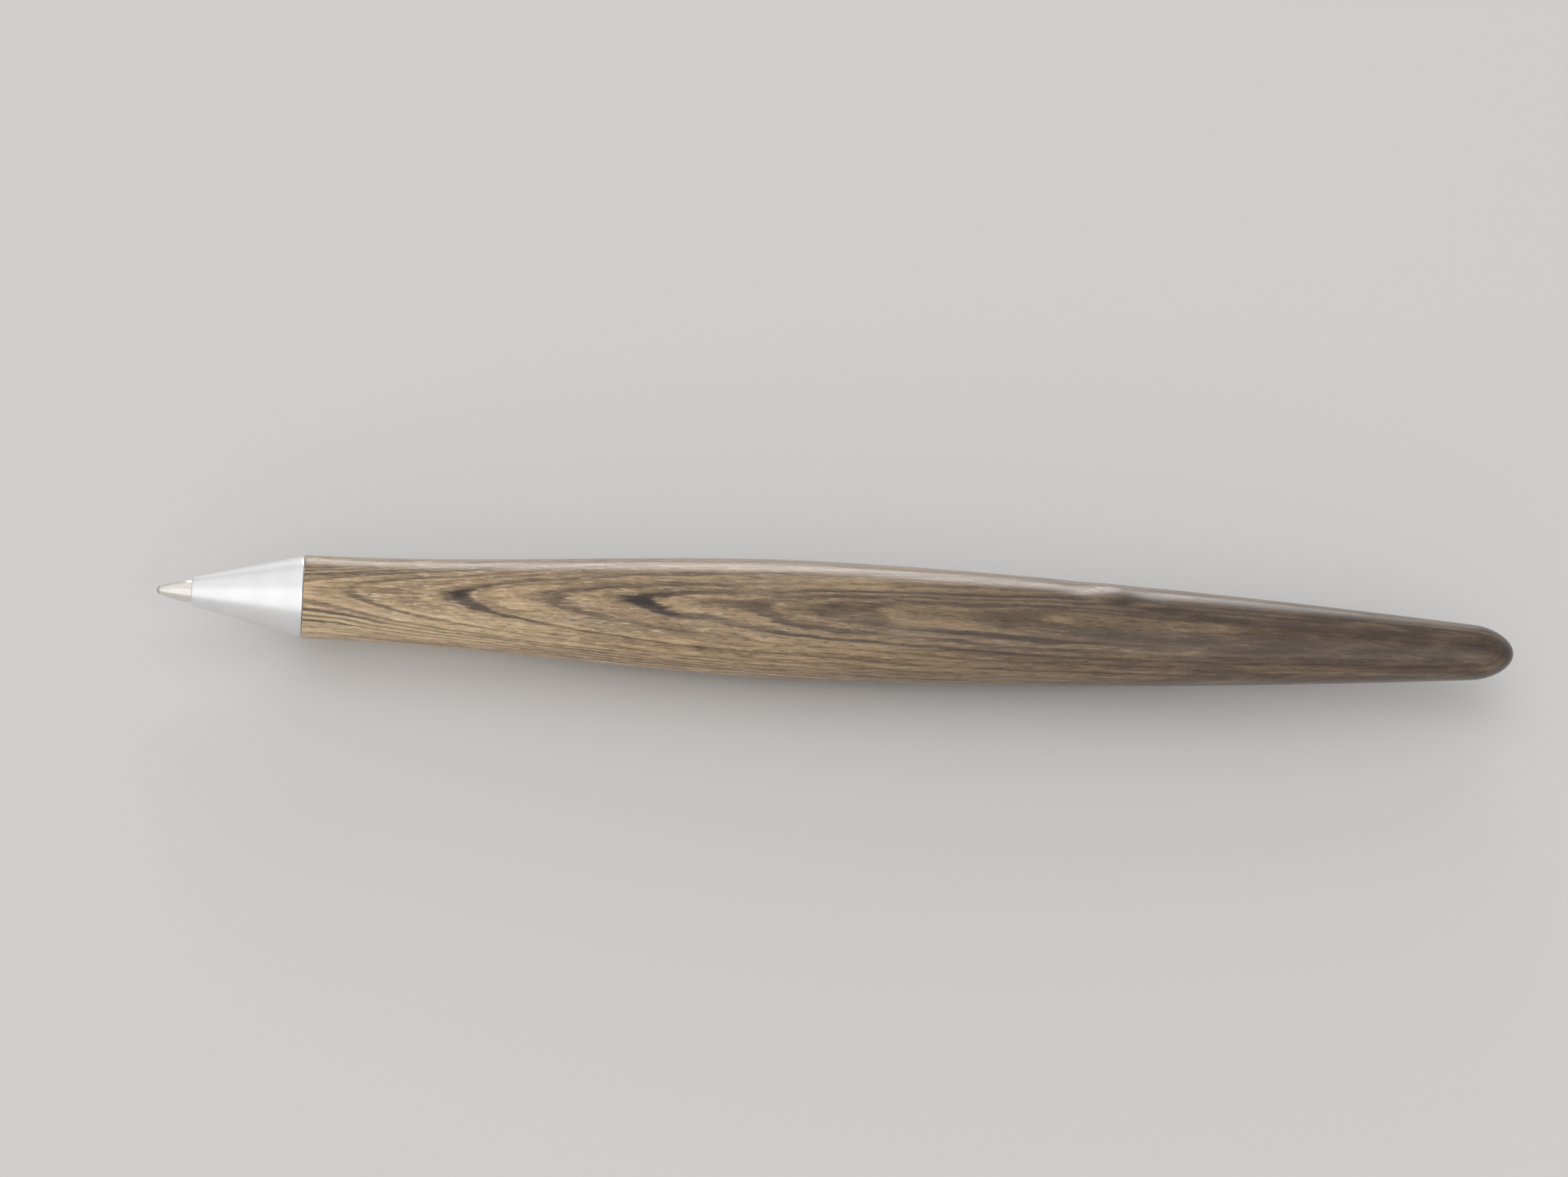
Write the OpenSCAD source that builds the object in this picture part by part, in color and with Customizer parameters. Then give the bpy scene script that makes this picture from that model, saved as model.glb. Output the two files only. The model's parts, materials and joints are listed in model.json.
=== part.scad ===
// Turned wooden ballpoint pen: a one-piece barrel with a closed tail, and a metal cone that screws off
// to change the refill. It lies on its belly along X, with the ball at -X and the tail at +X.
// Each piece is drawn upright, standing on the ball at z = 0, and then laid down.

/* [Barrel] */
// Length of the pen from the ball to the tail
pen_len = 145; // [138:1:155]
// Largest diameter of the wood
belly_d = 12.7; // [11:0.1:15]
// Distance of the largest diameter from the ball
belly_at = 68.5; // [58:0.5:80]
// Wall of the wood around the drilled hole, at the cone
front_wall = 0.43; // [0.35:0.01:0.8]
// Length of the parallel stretch of wood behind the cone
front_straight = 3; // [1:0.5:6]
// Rounding of the wood's front edge
wood_edge = 0.15; // [0.05:0.01:0.25]
// Diameter of the wood where the rounded tail begins
tail_d = 6; // [5:0.1:7]
// Length of the rounded tail
tail_round = 4.5; // [3:0.1:8]
// How late the wood thins behind the belly
tail_power = 1.65; // [1.4:0.05:2]

/* [Nose cone] */
// How far the ball stands out of the cone's mouth
point_out = 3.6; // [2.8:0.1:4.6]
// Length of the cone, from its mouth to its base
cone_len = 11.4; // [10.5:0.1:13]
// Wall of the cone at its mouth
mouth_wall = 0.25; // [0.2:0.01:0.5]
// How far the wood stands proud of the cone's base
wood_proud = 0.1; // [0:0.01:0.2]
// Break of the cone's rear edge and mouth
cone_edge = 0.12; // [0.05:0.01:0.2]
// Gap between the cone's base and the wood
seam_gap = 0.06; // [0.03:0.01:0.2]

/* [Thread] */
// Wall of the cone's spigot under its thread
spigot_wall = 0.25; // [0.22:0.01:0.4]
// Plain length of the spigot in front of its thread
spigot_plain = 1.3; // [1:0.1:3]
// Plain length of the spigot behind its thread
spigot_lead = 0.6; // [0.5:0.1:2]
// Height of the thread
thread_depth = 0.25; // [0.22:0.01:0.35]
// Advance of the cone in one turn
thread_pitch = 1; // [0.9:0.05:1.3]
// Turns that bring the cone free
thread_turns = 4; // [3:1:6]
// Width of the thread's foot
thread_foot = 0.42; // [0.36:0.01:0.46]
// Width of the thread's crest
thread_crest = 0.16; // [0.1:0.01:0.2]
// Clearance at the thread's crests
thread_play = 0.05; // [0.04:0.01:0.1]
// Wall of the bush around its thread
bush_wall = 0.3; // [0.25:0.01:0.5]
// Depth of the bush below the wood's front face
bush_inset = 0.1; // [0:0.05:0.4]
// Length of the bush behind the spigot
bush_rest = 0.6; // [0.3:0.1:2]

/* [Liner] */
// Wall of the brass tube in the drilled hole
liner_wall = 0.4; // [0.25:0.05:0.6]
// Glue film around the tube, the bush and pressed pieces
glue_gap = 0.02; // [0.01:0.01:0.05]
// Included angle of the drilled hole's end
drill_angle = 118; // [90:1:140]
// Thickness of the spring's seat
seat_len = 3; // [1.5:0.5:6]
// Length of the seat's pip inside the spring
pip_len = 1.5; // [0.5:0.1:2.5]

/* [Spring] */
// Length of the spring when the cone is screwed home
spring_len = 8; // [7.5:0.1:11]
// Diameter of the coil at the middle of the wire
coil_d = 3.8; // [3.2:0.1:4.2]
// Diameter of the spring's wire
wire_d = 0.45; // [0.3:0.01:0.5]
// Number of curls
curls = 7; // [5:1:7]
// Gap between the spring and what it presses on
spring_gap = 0.02; // [0.01:0.01:0.1]
// Clearance between the pip and the curls
pip_play = 0.15; // [0.05:0.01:0.4]

/* [Refill] */
// Length of the refill from the ball to its rear end
refill_len = 98.1; // [96:0.1:104]
// Diameter of the ink tube
refill_d = 5.9; // [5.7:0.05:6.1]
// Wall of the ink tube
refill_wall = 0.35; // [0.2:0.05:0.5]
// Distance of the refill's shoulder from the ball
shoulder_at = 12.5; // [12.2:0.1:13.2]
// Thickness of the shoulder
shoulder_len = 0.8; // [0.5:0.1:2]
// Diameter of the refill's nose in front of the shoulder
nose_d = 3.5; // [3.3:0.05:3.8]
// Distance of the nose's front from the ball
nose_at = 7.6; // [7.2:0.1:9]
// Break of the nose's front edge
nose_edge = 0.12; // [0.05:0.01:0.3]
// Length of the nose's root inside the ink tube
nose_root = 3; // [2:0.5:8]
// Length of the flare at the rear of the nose's bore
flare_len = 1.5; // [0.5:0.1:1.8]
// Diameter of the flare
flare_d = 3.2; // [2:0.1:3.8]
// Diameter of the bore through the nose
nose_bore = 1.2; // [0.8:0.05:1.5]
// Clearance around the refill in the cone
refill_play = 0.1; // [0.05:0.01:0.2]
// Gap between the refill's shoulder and its seat in the cone
seat_gap = 0.02; // [0.01:0.01:0.1]

/* [Point] */
// Diameter of the writing ball
ball_d = 0.7; // [0.5:0.05:0.8]
// How far the ball stands out of its rim
ball_out = 0.18; // [0.12:0.01:0.2]
// Clearance around the ball in its socket
ball_play = 0.02; // [0.01:0.005:0.03]
// Wall of the rim around the ball
rim_wall = 0.06; // [0.04:0.01:0.1]
// Diameter where the point's steep taper ends
taper_d = 1.62; // [1.4:0.01:1.9]
// Distance of that place from the ball
taper_at = 1.4; // [1.2:0.05:1.8]
// Full diameter of the point
point_d = 2.4; // [2.2:0.05:2.5]
// Distance from the ball at which the point is full
point_at = 3.1; // [2.6:0.05:3.5]
// Diameter of the point's stem inside the nose
stem_d = 1.8; // [1.6:0.05:2]
// Length of the stem
stem_len = 2; // [1.5:0.1:3]
// Diameter of the ink channel in the point
channel_d = 0.4; // [0.3:0.05:0.5]
// Clearance around the point in the cone's mouth
point_play = 0.05; // [0.03:0.01:0.1]

/* [Ink] */
// Length of the ink column in the tube
ink_len = 58; // [20:1:68]
// Length of the follower behind the ink
follower_len = 5; // [3:0.5:8]
// Film between the ink and the walls around it
ink_gap = 0.02; // [0.01:0.01:0.05]
// Length of the rear plug inside the tube
plug_root = 3; // [2:0.5:5]
// Thickness of the rear plug's flange
plug_flange = 0.8; // [0.5:0.1:1.5]
// Length of the rear plug's crown
crown_len = 1.3; // [0.8:0.1:2]
// Outer diameter of the crown
crown_d = 4.8; // [4.6:0.1:5.4]
// Wall of the crown
crown_wall = 1.1; // [0.9:0.1:1.3]
// Width of the notches in the crown
notch_w = 0.9; // [0.5:0.05:1.1]
// Number of notches
notches = 6; // [4:2:6]
// Diameter of the vent through the plug
vent_d = 1.2; // [0.8:0.1:1.6]

/* [Hidden] */
$fn = 96;

// Sides of a helical thread in one turn
thread_sides = 20;
// Rings and sides of the wire in one curl
curl_rings = 8;
wire_sides = 6;
// Steps of the barrel's outline: up to the belly, on to the tail, and round its end
front_steps = 20;
rear_steps = 26;
tail_steps = 9;
// Steps of a rounded edge
edge_steps = 3;
// Overlap of a cut past the face that it opens
past = 0.1;

// Radii, from the refill outwards
bore_r = refill_d / 2 + refill_play;
core_r = bore_r + spigot_wall;
thread_r = core_r + thread_depth;
bush_bore_r = thread_r + thread_play;
bush_r = bush_bore_r + bush_wall;
hole_r = bush_r + glue_gap;
liner_bore_r = bush_r - liner_wall;
front_r = hole_r + front_wall;
belly_r = belly_d / 2;
tail_r = tail_d / 2;
cone_base_r = front_r - wood_proud;
point_r = point_d / 2;
mouth_bore_r = point_r + point_play;
mouth_r = mouth_bore_r + mouth_wall;
nose_r = nose_d / 2;
nose_room_r = nose_r + refill_play;
tube_bore_r = refill_d / 2 - refill_wall;
ball_r = ball_d / 2;
socket_r = ball_r + ball_play;
rim_r = sqrt(pow(socket_r, 2) - pow(ball_r - ball_out, 2)) + rim_wall;

// Places along the pen, from the ball backwards
cone_to = point_out + cone_len;
wood_from = cone_to + seam_gap;
swell_from = wood_from + front_straight;
tail_from = pen_len - tail_round;
thread_from = cone_to + spigot_plain;
thread_len = thread_pitch * thread_turns;
spigot_to = thread_from + thread_len + spigot_lead;
bush_to = spigot_to + bush_rest;
spring_from = refill_len;
seat_from = spring_from + spring_len;
hole_to = seat_from + seat_len;
drill_tip = hole_r / tan(drill_angle / 2);
stem_to = nose_at + stem_len;
tube_from = shoulder_at + shoulder_len;
nose_to = tube_from + nose_root;
crown_from = refill_len - crown_len;
tube_to = crown_from - plug_flange;
ink_from = ball_d + 2 * ball_play;
ink_to = nose_to + ink_len;

// Lays an upright piece along X with the belly on the ground
module lay() translate([-pen_len / 2, 0, belly_r]) rotate([0, 90, 0]) children();

// Turns an outline of [radius, height] points around the pen's axis
module turned(outline) rotate_extrude() polygon(outline);

// A quarter round that leaves a face at height z and meets a wall at radius r
function edge(r, z, size) = [
    for (i = [0:edge_steps])
        let (a = 90 * i / edge_steps)
            [r - size + size * sin(a), z + size - size * cos(a)]
];

// Triangles that join rings of points into one closed tube
function tube_faces(rings, sides) = concat(
    [
        for (i = [0:rings - 2], j = [0:sides - 1])
            let (a = i * sides + j, b = i * sides + (j + 1) % sides)
                each [[a, a + sides, b], [b, a + sides, b + sides]]
    ],
    [for (j = [1:sides - 2]) [0, j, j + 1]],
    [
        for (j = [1:sides - 2])
            let (last = (rings - 1) * sides)
                [last, last + j + 1, last + j]
    ]
);

// A right-handed helical ridge, whose foot is sunk in the wall that carries it
module ridge(foot_r, crest_r, from, turns) {
    steps = thread_sides * turns;
    section = [
        [foot_r, -thread_foot / 2], [crest_r, -thread_crest / 2],
        [crest_r, thread_crest / 2], [foot_r, thread_foot / 2]
    ];
    inward = crest_r < foot_r;
    points = [
        for (i = [0:steps], k = [0:3])
            let (
                p = section[inward ? k : 3 - k],
                a = 360 * i / thread_sides
            )
                [p[0] * cos(a), p[0] * sin(a), p[1] + from + thread_pitch * i / thread_sides]
    ];
    polyhedron(points, tube_faces(steps + 1, 4));
}

// Radius of the wood before its end is rounded: an S-curve up to the belly, then a long taper
function smooth(u) = 3 * pow(u, 2) - 2 * pow(u, 3);
function rise(z) = smooth((z - swell_from) / (belly_at - swell_from));
function fall(z) = pow((z - belly_at) / (tail_from - belly_at), tail_power);
function wood_r(z) = z < belly_at
    ? front_r + (belly_r - front_r) * rise(z)
    : belly_r - (belly_r - tail_r) * fall(z);

module barrel() {
    front = [
        for (i = [0:front_steps])
            let (z = swell_from + (belly_at - swell_from) * i / front_steps)
                [wood_r(z), z]
    ];
    rear = [
        for (i = [1:rear_steps])
            let (z = belly_at + (tail_from - belly_at) * i / rear_steps)
                [wood_r(z), z]
    ];
    tail = [
        for (i = [1:tail_steps])
            let (a = 90 * i / tail_steps, z = tail_from + tail_round * sin(a))
                [wood_r(z) * cos(a), z]
    ];
    hole = [[0, hole_to + drill_tip], [hole_r, hole_to], [hole_r, wood_from]];
    color([0.47, 0.40, 0.30])
        lay() turned(concat(edge(front_r, wood_from, wood_edge), front, rear, tail, hole));
}

module barrel_tube() {
    color([0.78, 0.62, 0.28])
        lay() turned([
            [liner_bore_r, bush_to], [bush_r, bush_to],
            [bush_r, hole_to], [liner_bore_r, hole_to]
        ]);
}

module thread_bush() {
    from = wood_from + bush_inset;
    flat = cos(180 / thread_sides);
    foot_r = (bush_bore_r + bush_wall / 2) / flat;
    crest_r = (core_r + thread_play) / flat;
    color([0.80, 0.65, 0.32])
        lay() union() {
            turned([
                [bush_bore_r, from], [bush_r, from],
                [bush_r, bush_to], [bush_bore_r, bush_to]
            ]);
            ridge(foot_r, crest_r, thread_from + thread_pitch / 2, thread_turns - 0.5);
        }
}

module spring_seat() {
    seat_r = liner_bore_r - glue_gap;
    pip_r = coil_d / 2 * cos(180 / curl_rings) - wire_d / 2 - pip_play;
    color([0.74, 0.58, 0.26])
        lay() turned([
            [0, seat_from - pip_len], [pip_r, seat_from - pip_len], [pip_r, seat_from],
            [seat_r, seat_from], [seat_r, hole_to], [0, hole_to]
        ]);
}

// Places of the spring's wire, and the least gap between two curls
coil_r = coil_d / 2;
wire_r = wire_d / 2;
coil_from = spring_from + spring_gap + wire_r;
coil_rise = spring_len - 2 * spring_gap - wire_d;
coil_steps = curl_rings * curls;
function coil_at(i) = let (a = 360 * i / curl_rings)
    [coil_r * cos(a), coil_r * sin(a), coil_from + coil_rise * i / coil_steps];
coil_gap = min([
    for (i = [0:coil_steps - curl_rings / 2], j = [i + curl_rings / 2:coil_steps])
        norm(coil_at(i) - coil_at(j))
]) - wire_d;
echo(least_gap_of_spring = coil_gap);  // refill_spring

module refill_spring() {
    points = [
        for (i = [0:coil_steps], k = [0:wire_sides - 1])
            let (
                a = 360 * i / curl_rings,
                b = -360 * k / wire_sides,
                out = wire_r * cos(b)
            )
                coil_at(i) + [out * cos(a), out * sin(a), wire_r * sin(b)]
    ];
    color([0.70, 0.71, 0.73])
        lay() polyhedron(points, tube_faces(coil_steps + 1, wire_sides));
}

module nose_cone() {
    seat = shoulder_at - seat_gap;
    step = nose_at - refill_play;
    color([0.86, 0.86, 0.87])
        lay() union() {
            turned([
                [mouth_bore_r, point_out],
                [mouth_r - cone_edge, point_out],
                [mouth_r, point_out + cone_edge],
                [cone_base_r, cone_to - cone_edge],
                [cone_base_r - cone_edge, cone_to],
                [core_r, cone_to],
                [core_r, spigot_to],
                [bore_r, spigot_to],
                [bore_r, seat],
                [nose_room_r, seat],
                [nose_room_r, step],
                [mouth_bore_r, step]
            ]);
            ridge(core_r - spigot_wall / 2, thread_r, thread_from, thread_turns);
        }
}

module refill_tube() {
    color([0.76, 0.77, 0.78])
        lay() turned([
            [tube_bore_r, tube_from], [refill_d / 2, tube_from],
            [refill_d / 2, tube_to], [tube_bore_r, tube_to]
        ]);
}

module refill_nose() {
    stem_hole_r = stem_d / 2 + glue_gap;
    root_r = tube_bore_r - glue_gap;
    color([0.72, 0.72, 0.72])
        lay() turned([
            [stem_hole_r, nose_at],
            [nose_r - nose_edge, nose_at],
            [nose_r, nose_at + nose_edge],
            [nose_r, shoulder_at],
            [refill_d / 2, shoulder_at],
            [refill_d / 2, tube_from],
            [root_r, tube_from],
            [root_r, nose_to],
            [flare_d / 2, nose_to],
            [nose_bore / 2, nose_to - flare_len],
            [nose_bore / 2, stem_to],
            [stem_hole_r, stem_to]
        ]);
}

module ball_point() {
    color([0.84, 0.80, 0.76])
        lay() difference() {
            turned([
                [0, ball_out], [rim_r, ball_out],
                [taper_d / 2, taper_at], [point_r, point_at],
                [point_r, nose_at], [stem_d / 2, nose_at],
                [stem_d / 2, stem_to], [0, stem_to]
            ]);
            translate([0, 0, ball_r]) sphere(socket_r);
            translate([0, 0, ball_r]) cylinder(h = stem_to, d = channel_d);
        }
}

module writing_ball() {
    color([0.62, 0.63, 0.65])
        lay() translate([0, 0, ball_r]) sphere(ball_r);
}

module ink() {
    channel_r = channel_d / 2 - ink_gap;
    neck_r = nose_bore / 2 - ink_gap;
    color([0.06, 0.08, 0.30])
        lay() turned([
            [0, ink_from], [channel_r, ink_from],
            [channel_r, stem_to + ink_gap], [neck_r, stem_to + ink_gap],
            [neck_r, nose_to - flare_len], [flare_d / 2 - ink_gap, nose_to],
            [flare_d / 2 - ink_gap, nose_to + ink_gap], [tube_bore_r - ink_gap, nose_to + ink_gap],
            [tube_bore_r - ink_gap, ink_to], [0, ink_to]
        ]);
}

module ink_follower() {
    color([0.90, 0.88, 0.78])
        lay() translate([0, 0, ink_to + ink_gap])
            cylinder(h = follower_len, r = tube_bore_r - ink_gap);
}

module refill_plug() {
    root_r = tube_bore_r - glue_gap;
    crown_r = crown_d / 2;
    color([0.12, 0.12, 0.13])
        lay() difference() {
            turned([
                [vent_d / 2, tube_to - plug_root], [root_r, tube_to - plug_root],
                [root_r, tube_to], [refill_d / 2, tube_to],
                [refill_d / 2, crown_from], [crown_r, crown_from],
                [crown_r, refill_len], [crown_r - crown_wall, refill_len],
                [crown_r - crown_wall, crown_from], [vent_d / 2, crown_from]
            ]);
            for (i = [0:notches / 2 - 1])
                rotate([0, 0, 360 * i / notches])
                    translate([-crown_d, -notch_w / 2, crown_from])
                        cube([2 * crown_d, notch_w, crown_len + past]);
        }
}

barrel();
barrel_tube();
thread_bush();
spring_seat();
refill_spring();
nose_cone();
refill_tube();
refill_nose();
ball_point();
writing_ball();
ink();
ink_follower();
refill_plug();
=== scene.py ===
# %% [markdown]
# # Dressing a turned wooden pen
# The pen is a one-piece wooden barrel with a metal cone screwed into its front.
# Its solids were measured and built first, and they come in here as a fixed frame.
# We keep that frame for every size and place, and give each piece a finer skin and a finish of its own.

# %% Bring in the measured pen
import json
import math

import bmesh
import bpy
import numpy as np
from mathutils import Matrix, Vector


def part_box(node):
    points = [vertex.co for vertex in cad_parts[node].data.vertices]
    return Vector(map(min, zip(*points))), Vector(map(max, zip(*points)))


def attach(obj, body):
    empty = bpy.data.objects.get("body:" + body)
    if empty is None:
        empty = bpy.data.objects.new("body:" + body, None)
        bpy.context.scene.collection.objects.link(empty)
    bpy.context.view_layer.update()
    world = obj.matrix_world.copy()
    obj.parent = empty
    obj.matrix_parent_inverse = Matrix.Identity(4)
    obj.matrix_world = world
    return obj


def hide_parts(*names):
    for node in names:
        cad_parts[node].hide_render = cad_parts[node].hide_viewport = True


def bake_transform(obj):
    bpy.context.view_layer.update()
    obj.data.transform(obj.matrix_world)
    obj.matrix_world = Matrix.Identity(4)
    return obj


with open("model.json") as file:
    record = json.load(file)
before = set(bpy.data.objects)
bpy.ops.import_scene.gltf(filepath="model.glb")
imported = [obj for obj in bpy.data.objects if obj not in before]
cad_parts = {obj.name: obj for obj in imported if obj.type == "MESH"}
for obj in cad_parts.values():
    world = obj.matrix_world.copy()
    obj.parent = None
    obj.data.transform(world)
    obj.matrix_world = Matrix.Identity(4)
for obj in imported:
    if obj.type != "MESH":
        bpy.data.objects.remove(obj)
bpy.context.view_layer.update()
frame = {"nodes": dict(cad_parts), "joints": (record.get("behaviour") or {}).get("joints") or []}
MM = 0.001

# %% [markdown]
# ## Where the pen lies
# A pen is easiest to think of as a turner sees it: how far along from the ball, and how far out
# from the axis.
# So we read two numbers off the frame: where the ball begins, and how high the axis is above the table.
# The cone turns about the pen's own axis, so its joint tells that height.
# All later sizes are in millimetres along and out, and two small functions turn them into places and back.

# %% The pen's own axis
ball_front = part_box("writing_ball")[0].x
cone_joint = next(joint for joint in frame["joints"] if joint["name"] == "cone_turn")
axis_height = cone_joint["pos_m"][2]


def on_pen(along, out=0.0, turn=0.0):
    """A place on the pen: mm behind the ball, mm off the axis, and degrees up from the near side."""
    angle = math.radians(turn)
    near, up = out * math.cos(angle), out * math.sin(angle)
    return Vector((ball_front + along * MM, -near * MM, axis_height + up * MM))


def behind_front(x):
    """How far behind the ball's front a place of the frame is, in mm."""
    return (x - ball_front) / MM


# %% [markdown]
# ## The camera
# The pen is seen from its near side, from about 51 degrees above the table, with the tip to the left.
# The tail is further away than the tip, and sinks to the right by about three degrees.
# The joint between cone and wood shows as a nearly straight line, so the camera stands level with it.
# A camera can be aimed at a target, but that leaves its tilt open.
# So we set it by three directions: to the right, down the picture, and ahead, which is square to both.

# %% Set the camera
picture_wide, focal_length = 2212, 5300
film_wide = 36.0
camera_place = Vector((-0.05562, -0.24549, 0.31420))
to_the_right = Vector((0.99133, -0.03894, 0.12546)).normalized()
down_the_picture = Vector((0.04843, -0.77946, -0.62458)).normalized()
ahead = to_the_right.cross(down_the_picture)


def into_scene(name, data):
    """A new object in the scene, for a camera, a lamp or a mesh."""
    thing = bpy.data.objects.new(name, data)
    bpy.context.scene.collection.objects.link(thing)
    return thing


camera_lens = bpy.data.cameras.new("camera")
camera_lens.sensor_width = film_wide
camera_lens.lens = focal_length / picture_wide * film_wide
camera_lens.clip_start = 0.01
camera = into_scene("camera", camera_lens)
stance = Matrix((to_the_right, -down_the_picture, -ahead)).transposed().to_4x4()
stance.translation = camera_place
camera.matrix_world = stance
bpy.context.scene.camera = camera
bpy.context.scene.view_settings.view_transform = "Standard"
print("lens in mm:", round(camera_lens.lens, 2))

# %% [markdown]
# ## A finish is a small recipe
# Every finish below is a net of shader nodes that ends in one shader.
# Written out node by node, such nets hide what they do, so this small class gives the few moves we need.
# add() puts in a node and wires it, and the other moves are short names for common nodes.
# A number that is the same all over a piece is always set on the shader itself.

# %% Short moves for mixing a finish


class Finish:
    """One finish in the making: its material, its net of nodes and its shader."""

    def __init__(self, name, **even):
        self.material = bpy.data.materials.new(name)
        self.material.use_nodes = True
        self.tree = self.material.node_tree
        self.shader = self.tree.nodes["Principled BSDF"]
        self.give(**even)

    def give(self, **sockets):
        """Sets or wires sockets of the shader. An underscore stands for a space in a socket's name."""
        self.feed(self.shader, {name.replace("_", " "): value for name, value in sockets.items()})

    def feed(self, node, feeds):
        """Wires each value that comes from a node, and sets each plain one."""
        for socket, value in feeds.items():
            if isinstance(value, bpy.types.NodeSocket):
                self.tree.links.new(value, node.inputs[socket])
            else:
                node.inputs[socket].default_value = value

    def add(self, kind, feeds, **settings):
        """A new node with its settings and its feeds."""
        node = self.tree.nodes.new("ShaderNode" + kind)
        for key, value in settings.items():
            setattr(node, key, value)
        self.feed(node, feeds)
        return node

    def sums(self, how, a, b=0.0, c=0.0):
        """One step of arithmetic."""
        return self.add("Math", {0: a, 1: b, 2: c}, operation=how).outputs[0]

    def times(self, first, *others):
        """The product of two or more values."""
        for other in others:
            first = self.sums("MULTIPLY", first, other)
        return first

    def spread(self, value, low, high, to_low=0.0, to_high=1.0):
        """Carries a value softly from one range to another, and holds it at the ends."""
        feeds = {"Value": value, "From Min": low, "From Max": high, "To Min": to_low, "To Max": to_high}
        return self.add("MapRange", feeds, interpolation_type="SMOOTHSTEP").outputs[0]

    def stretched(self, place, along, across):
        """A place in its own measure along the pen and across it. A small number stretches a cloud."""
        return self.add("Mapping", {"Vector": place, "Scale": (along, across, across)}).outputs[0]

    def cloud(self, place, scale=1.0, detail=2.0, rough=0.5):
        """Cloudy noise around 0.5."""
        feeds = {"Vector": place, "Scale": scale, "Detail": detail, "Roughness": rough}
        return self.add("TexNoise", feeds).outputs[0]

    def lines(self, first, second=0.0, detail=2.0, rough=0.5):
        """A cloud that changes along one or two measures only, so it draws lines or rings."""
        measures = self.add("CombineXYZ", {0: first, 1: second}).outputs[0]
        return self.cloud(measures, detail=detail, rough=rough)

    def sway(self, value, cloud, width):
        """A value that a cloud moves up and down."""
        return self.sums("MULTIPLY_ADD", self.sums("SUBTRACT", cloud, 0.5), width, value)

    def reach(self, place, direction):
        """How far a place lies in a direction."""
        return self.add("VectorMath", {0: place, 1: direction}, operation="DOT_PRODUCT").outputs["Value"]

    def away_from(self, place, middle, squeeze):
        """Distance from a middle. Lengths along the pen are squeezed, so equal distances form long ovals."""
        squeezing = (squeeze, 1.0, 1.0)
        squeezed = self.add("VectorMath", {0: place, 1: squeezing}, operation="MULTIPLY").outputs[0]
        feeds = {0: squeezed, 1: (middle[0] * squeeze, middle[1], middle[2])}
        return self.add("VectorMath", feeds, operation="DISTANCE").outputs["Value"]

    def shades(self, value, stops):
        """Reads a value off a band of greys."""
        node = self.add("ValToRGB", {0: value})
        band = node.color_ramp.elements
        while len(band) < len(stops):
            band.new(0.5)
        for mark, (position, grey) in zip(band, stops):
            mark.position = position
            mark.color = (grey, grey, grey, 1)
        return node.outputs[0]

    def between(self, share, a, b):
        """A colour between two others."""
        node = self.add("Mix", {0: share}, data_type="RGBA")
        self.feed(node, {6: a, 7: b})
        return node.outputs[2]

    def place(self):
        """Where a point is, in mm: along from the ball, away from the near side, and up from the axis."""
        spot = self.add("TexCoord", {}).outputs["Object"]
        shift = (-ball_front / MM, 0, -axis_height / MM)
        return self.add("Mapping", {"Vector": spot, "Location": shift, "Scale": (1 / MM,) * 3}).outputs[0]

    def relief(self, height, depth, strength=1.0):
        """Fine unevenness of the surface, with its depth in mm."""
        feeds = {"Height": height, "Distance": depth * MM, "Strength": strength}
        self.give(Normal=self.add("Bump", feeds).outputs[0])


print("ready to mix finishes")

# %% [markdown]
# ## The table and the light
# The pen lies on a plain pale table under soft light, as in a small studio.
# A large panel stands before the pen and another hangs above it.
# Wide lamps give soft shadows, and satin metal mirrors them as broad pale bands.
# A third panel stands low and five metres behind the pen.
# The polished wood mirrors that one along its upper edge, where the eye meets the skin at a flat angle.

# %% Lay the table
table_half = 1.1
corners = [(-1, -1), (1, -1), (1, 1), (-1, 1)]
table_shape = bpy.data.meshes.new("table")
table_shape.from_pydata([(table_half * x, table_half * y, 0) for x, y in corners], [], [(0, 1, 2, 3)])
table = into_scene("table", table_shape)
pale_table = Finish("pale_table", Base_Color=(0.74, 0.735, 0.73, 1), Roughness=0.7)
table_shape.materials.append(pale_table.material)
print("table side in m:", 2 * table_half)

# %% Hang the lamps


def soft_lamp(name, stand, wide, high, power):
    """A wide lamp, turned to face the pen. Its place and its sides are in metres, its power in watts."""
    lamp = bpy.data.lights.new(name, "AREA")
    lamp.shape = "RECTANGLE"
    lamp.size = wide
    lamp.size_y = high
    lamp.energy = power
    holder = into_scene(name, lamp)
    holder.location = stand
    towards_pen = Vector((0, 0, axis_height)) - Vector(stand)
    holder.rotation_euler = towards_pen.to_track_quat("-Z", "Y").to_euler()


soft_lamp("front_panel", stand=(-0.20, -1.22, 0.95), wide=3.4, high=1.8, power=10.4)
soft_lamp("top_panel", stand=(-0.40, 0.35, 1.30), wide=2.0, high=1.7, power=3.6)
soft_lamp("far_panel", stand=(0.47, 5.0, 1.10), wide=2.5, high=2.3, power=60.0)

# %% [markdown]
# ## The room behind
# Beyond the table's edge the eye should meet a plain pale wall, about as bright as the table.
# Metal should mirror the same wall.
# The soft light that the wall sends to dull surfaces can then be set on its own.
# A light path node tells the two apart: it asks what kind of ray has reached the wall.

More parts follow.
